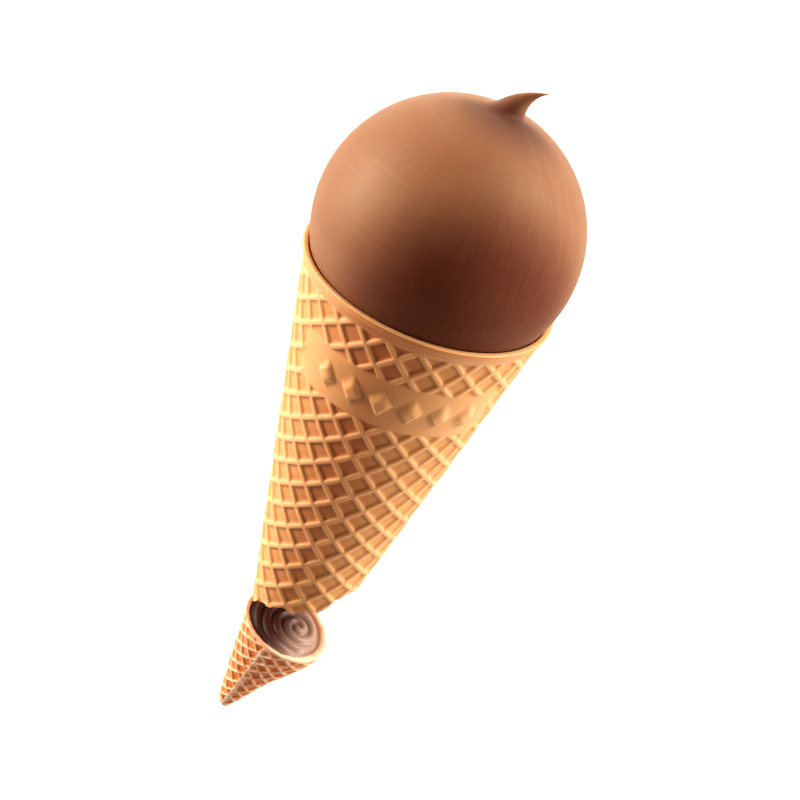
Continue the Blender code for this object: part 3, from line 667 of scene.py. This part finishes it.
for vert in tip_sheet.verts:
    turn, down = vert.co.x / tip_scale, vert.co.y
    angle, distance = turn * math.sin(tip.half_angle), tip.slant - down
    flat = Vector((distance * math.sin(angle), distance * math.cos(angle)))
    rough = Vector((flat.x, flat.y, 0))
    top = (0.15 + 0.16 * wander(rough, 2 * MM, 3.0)) * MM
    grid = max(ridge_height(gap, top, top + 0.42 * MM, TIP_DEPTH) for gap in tip_press.lines_of(flat))
    grid += 0.11 * MM * wander(rough, 1.2 * MM, 8.0)
    plain = ease((TIP_LIP - down) / (0.8 * MM) + 0.5)
    lap = 1 - ease((turn - tip_first) * distance * math.sin(tip.half_angle) / (1.5 * MM))
    lap = max(lap, 1 - ease((distance - TIP_END - 0.6 * MM) / (1.2 * MM)))
    grid += (-0.02 * MM - grid) * max(plain, lap)
    vert[relief] = min(max(1 + grid / TIP_DEPTH, 0.0), 1.3)
    vert[toast_and_shade] = 0.5 + 0.5 * wander(rough, 3 * MM, 6.0) - 0.8 * lap
    vert[toast_and_shade] += (tip_lip_toast(turn) - vert[toast_and_shade]) * plain
    ramp = min(max((turn - tip_last + TIP_SEAM_RAMP) / TIP_SEAM_RAMP, 0.0), 1.0)
    lift = grid - TIP_SEAM_STEP * ramp * ease(down / (1.5 * MM))
    if abs(turn - tip_first) < 1e-5:
        tip_rows["first"].append((down, vert))
    if abs(turn - tip_last) < 1e-5:
        tip_rows["last"].append((down, vert))
    vert.co = tip.place(turn, down, lift)


def swelled(point):
    """The tip bulges a little on one side, where its lip sets off from the big cone."""
    height = (point - tip.mouth).dot(tip.axis)
    outward = point - tip.mouth - tip.axis * height
    down = -height / math.cos(tip.half_angle)
    share = max(math.cos(tip.turn_of(point) - TIP_SWELL_TURN), 0.0) ** 2 * (0.6 + 0.4 * ease(down / (3 * MM)))
    share *= 1 - ease((down - 6 * MM) / (12 * MM))
    return point + outward.normalized() * TIP_SWELL * share


for vert in tip_sheet.verts:
    vert.co = swelled(vert.co)
upper, lower = (sorted(tip_rows[key], key=lambda row: row[0]) for key in ("first", "last"))
tip_sheet.faces.new([vert for _, vert in upper] + [vert for _, vert in reversed(lower)])
open_edges = [edge for edge in tip_sheet.edges if len(edge.link_faces) == 1]
blunt_edges = [edge for edge in open_edges if all((v.co - tip.apex).length < 8 * MM for v in edge.verts)]
mouth_edges = [edge for edge in open_edges if edge not in set(blunt_edges)]


def tip_spot(height, radius, jag=0.0):
    def spot(point):
        turn = tip.turn_of(point)
        rise = jag * wander(tip.circle_place(turn, 0, radius), 1.5 * MM, 2.0)
        place = tip.circle_place(turn, height + rise, radius)
        return swelled(place) if radius > 9.4 * MM else place

    return spot


TIP_RIM_ROWS = ((-0.12, 9.95), (0.0, 9.8), (0.02, 9.5), (-0.08, 9.15), (-0.6, 8.9))
for height, radius in TIP_RIM_ROWS:
    mouth_edges = wall_on(tip_sheet, mouth_edges, tip_spot(height * MM, radius * MM, 0.22 * MM))
    for vert in {vert for edge in mouth_edges for vert in edge.verts}:
        vert[relief] = 0.7
        vert[toast_and_shade] = tip_lip_toast(tip.turn_of(vert.co))
bore_foot = TIP_BORE_END * math.cos(TIP_HALF_ANGLE) - TIP_MOUTH_RADIUS / math.tan(TIP_HALF_ANGLE)
mouth_edges = wall_on(tip_sheet, mouth_edges, tip_spot(bore_foot, 1.1 * MM))
bmesh.ops.holes_fill(tip_sheet, edges=mouth_edges, sides=0)
blunt_height = TIP_END * math.cos(TIP_HALF_ANGLE) - TIP_MOUTH_RADIUS / math.tan(TIP_HALF_ANGLE)
for height, radius in ((-0.25, 1.1), (-0.35, 0.6)):
    blunt_edges = wall_on(tip_sheet, blunt_edges, tip_spot(blunt_height + height * MM, radius * MM, 0.3 * MM))
bmesh.ops.holes_fill(tip_sheet, edges=blunt_edges, sides=0)
bmesh.ops.remove_doubles(tip_sheet, verts=tip_sheet.verts, dist=2e-6)
for vert in tip_sheet.verts:
    vert.co.z = max(vert.co.z, 0.0)

caramel = wafer_finish(
    "tip_wafer",
    # The pale crest is partly painted highlight on the ridges, and the deep orange floor partly painted shade
    # in the pockets.
    crest=(0.92, 0.64, 0.43),
    floor=(0.86, 0.28, 0.065),
    brown=(0.74, 0.19, 0.032),
    pale=(0.98, 0.76, 0.57),
    crumb_colour=(0.85, 0.50, 0.22),
    shares=(0.15, 0.3),
)
finished("snapped_tip", tip_sheet, caramel, "tip_cone")

# The chocolate in the tip. Soft milk chocolate is piped round and round from the wall inwards and
# sets with a faint sheen, so its top keeps the nozzle's spiral. One side is painted dark as shade,
# the other pale as a reflection.
SWIRL_PITCH = 2.5 * MM
SWIRL_CENTRE = (2.8 * MM, -0.8 * MM)
HOLLOW_CENTRE = (-1.2 * MM, -1.0 * MM)
chocolate = bmesh.new()
fill_foot = bore_foot + 1.45 * MM
fill_radius = TIP_MOUTH_RADIUS - 0.95 * MM
FILL_ROWS = 72
outline = [(0.0, fill_foot), (1.3 * MM, fill_foot)]
for height in (-20 * MM, -8 * MM, -2 * MM):
    outline.append((fill_radius - 0.1 * MM + height * math.tan(TIP_HALF_ANGLE), height))
outline += [(fill_radius * (1 - row / FILL_ROWS), 0.0) for row in range(FILL_ROWS + 1)]
outline = [chocolate.verts.new((radius, 0, height)) for radius, height in outline]
spine = [chocolate.edges.new(pair) for pair in zip(outline, outline[1:])]
bmesh.ops.spin(
    chocolate, geom=outline + spine, cent=(0, 0, 0), axis=(0, 0, 1), angle=math.tau, steps=144, use_merge=True
)
bmesh.ops.remove_doubles(chocolate, verts=chocolate.verts, dist=1e-6)
for vert in chocolate.verts:
    across, up, height = vert.co.y, vert.co.x, vert.co.z
    if height > -1e-7:
        dx, dy = across - SWIRL_CENTRE[0], up - SWIRL_CENTRE[1]
        distance = math.hypot(dx, dy)
        phase = distance / SWIRL_PITCH + math.atan2(dy, dx) / math.tau
        rope = abs(math.sin(math.pi * phase)) ** 0.8
        edge = ease((fill_radius - math.hypot(across, up)) / (2.2 * MM))
        height = (0.85 * rope * edge + 1.0 * (1 - distance / (1.6 * fill_radius)) * edge - 0.9) * MM
        hollow = math.hypot(across - HOLLOW_CENTRE[0], up - HOLLOW_CENTRE[1])
        height -= 0.5 * MM * math.exp(-((hollow / (1.8 * MM)) ** 2))
    vert.co = tip.mouth + tip.axis * height + across * tip.side + up * tip.near

dark, paint, dark_finish = new_finish("piped_chocolate")
# The pale mottled colour is a painted reflection on one side, and the dark colour on the other side is
# painted shade.
reflection_mottle = mottle(paint, 3 * MM, 2.0).between(0.4, 0.7)
smears = mottle(paint, 0.6 * MM, 3.0)
skin = paint.node("ShaderNodeBump", {}, {"Height": smears, "Strength": 0.15, "Distance": 0.08 * MM})
shade_to_reflection = (place_from(paint, tip.mouth).along(tip.side) + 0.8 * MM * smears).between(-2.0 * MM, 7.0 * MM)
painted_reflection = (reflection_mottle * 0.3).blend((0.42, 0.265, 0.20, 1), (0.52, 0.36, 0.285, 1))
dark_finish(
    Base_Color=shade_to_reflection.blend((0.060, 0.013, 0.009, 1), painted_reflection),
    Roughness=0.36 + 0.14 * smears,
    Normal=skin,
    Coat_Weight=0.15,
    Coat_Roughness=0.25,
)
finished("piped_spiral", chocolate, dark, "tip_chocolate")

# The studio. A plain white floor that glows a little, two wide soft lights from the upper left and
# right, a weaker one low at the right, and a camera that looks steeply down through a long lens.
floor_mesh = bmesh.new()
bmesh.ops.create_grid(floor_mesh, x_segments=2, y_segments=2, size=4.0)
mesh = bpy.data.meshes.new("studio_floor")
floor_mesh.to_mesh(mesh)
floor_mesh.free()
floor = bpy.data.objects.new("studio_floor", mesh)
bpy.context.scene.collection.objects.link(floor)
paper, paint, paper_finish = new_finish("pale_paper")
paper_finish(
    Base_Color=(0.92, 0.92, 0.92, 1),
    Roughness=0.9,
    Specular_IOR_Level=0.1,
    Emission_Color=(1.0, 1.0, 1.0, 1),
    Emission_Strength=0.58,
)
mesh.materials.append(paper)
bpy.context.scene.view_settings.view_transform = "Standard"
bpy.context.scene.view_settings.look = "Medium High Contrast"

world = bpy.data.worlds.new("studio_air")
world.use_nodes = True
air = world.node_tree.nodes["Background"]
air.inputs["Color"].default_value = (1.0, 0.82, 0.70, 1)
air.inputs["Strength"].default_value = 0.26
bpy.context.scene.world = world

lens_right = Vector((0.36430, -0.92091, -0.13860))
lens_up = Vector((0.86072, 0.38978, -0.32747))
lens_back = Vector((0.35560, 0.0, 0.93464))
LENS_OFFSET = (109.58 * MM, -4.106 * MM, 383.85 * MM - cone.mouth.z)
LIT_POINT = Vector((-0.005, 0, 0.02))
LIGHT_DISTANCE = 0.9
LIGHT_HEIGHT = 0.28


def soft_light(name, right, up, back, width, watts, colour):
    """An area light, placed by directions as the camera sees them."""
    way = (right * lens_right + up * lens_up + back * lens_back).normalized()
    data = bpy.data.lights.new(name, "AREA")
    data.shape, data.size, data.size_y = "RECTANGLE", width, LIGHT_HEIGHT
    data.energy, data.color = watts, colour
    lamp = bpy.data.objects.new(name, data)
    faced = way.to_track_quat("Z", "Y").to_matrix().to_4x4()
    lamp.matrix_world = Matrix.Translation(LIT_POINT + way * LIGHT_DISTANCE) @ faced
    bpy.context.scene.collection.objects.link(lamp)


soft_light("left_softbox", -0.80, 0.50, 0.20, 0.60, 12.0, (1.0, 0.94, 0.85))
soft_light("right_softbox", 0.86, 0.40, 0.24, 0.50, 12.5, (1.0, 0.94, 0.85))
soft_light("low_softbox", 0.88, -0.40, 0.20, 0.40, 4.2, (1.0, 0.92, 0.82))

lens = bpy.data.cameras.new("long_lens")
lens.sensor_width, lens.lens, lens.clip_start = 36.0, 85.0, 0.01
camera = bpy.data.objects.new("camera", lens)
turned = Matrix((lens_right, lens_up, lens_back)).transposed().to_4x4()
camera.matrix_world = Matrix.Translation(cone.mouth + Vector(LENS_OFFSET)) @ turned
bpy.context.scene.collection.objects.link(camera)
bpy.context.scene.camera = camera
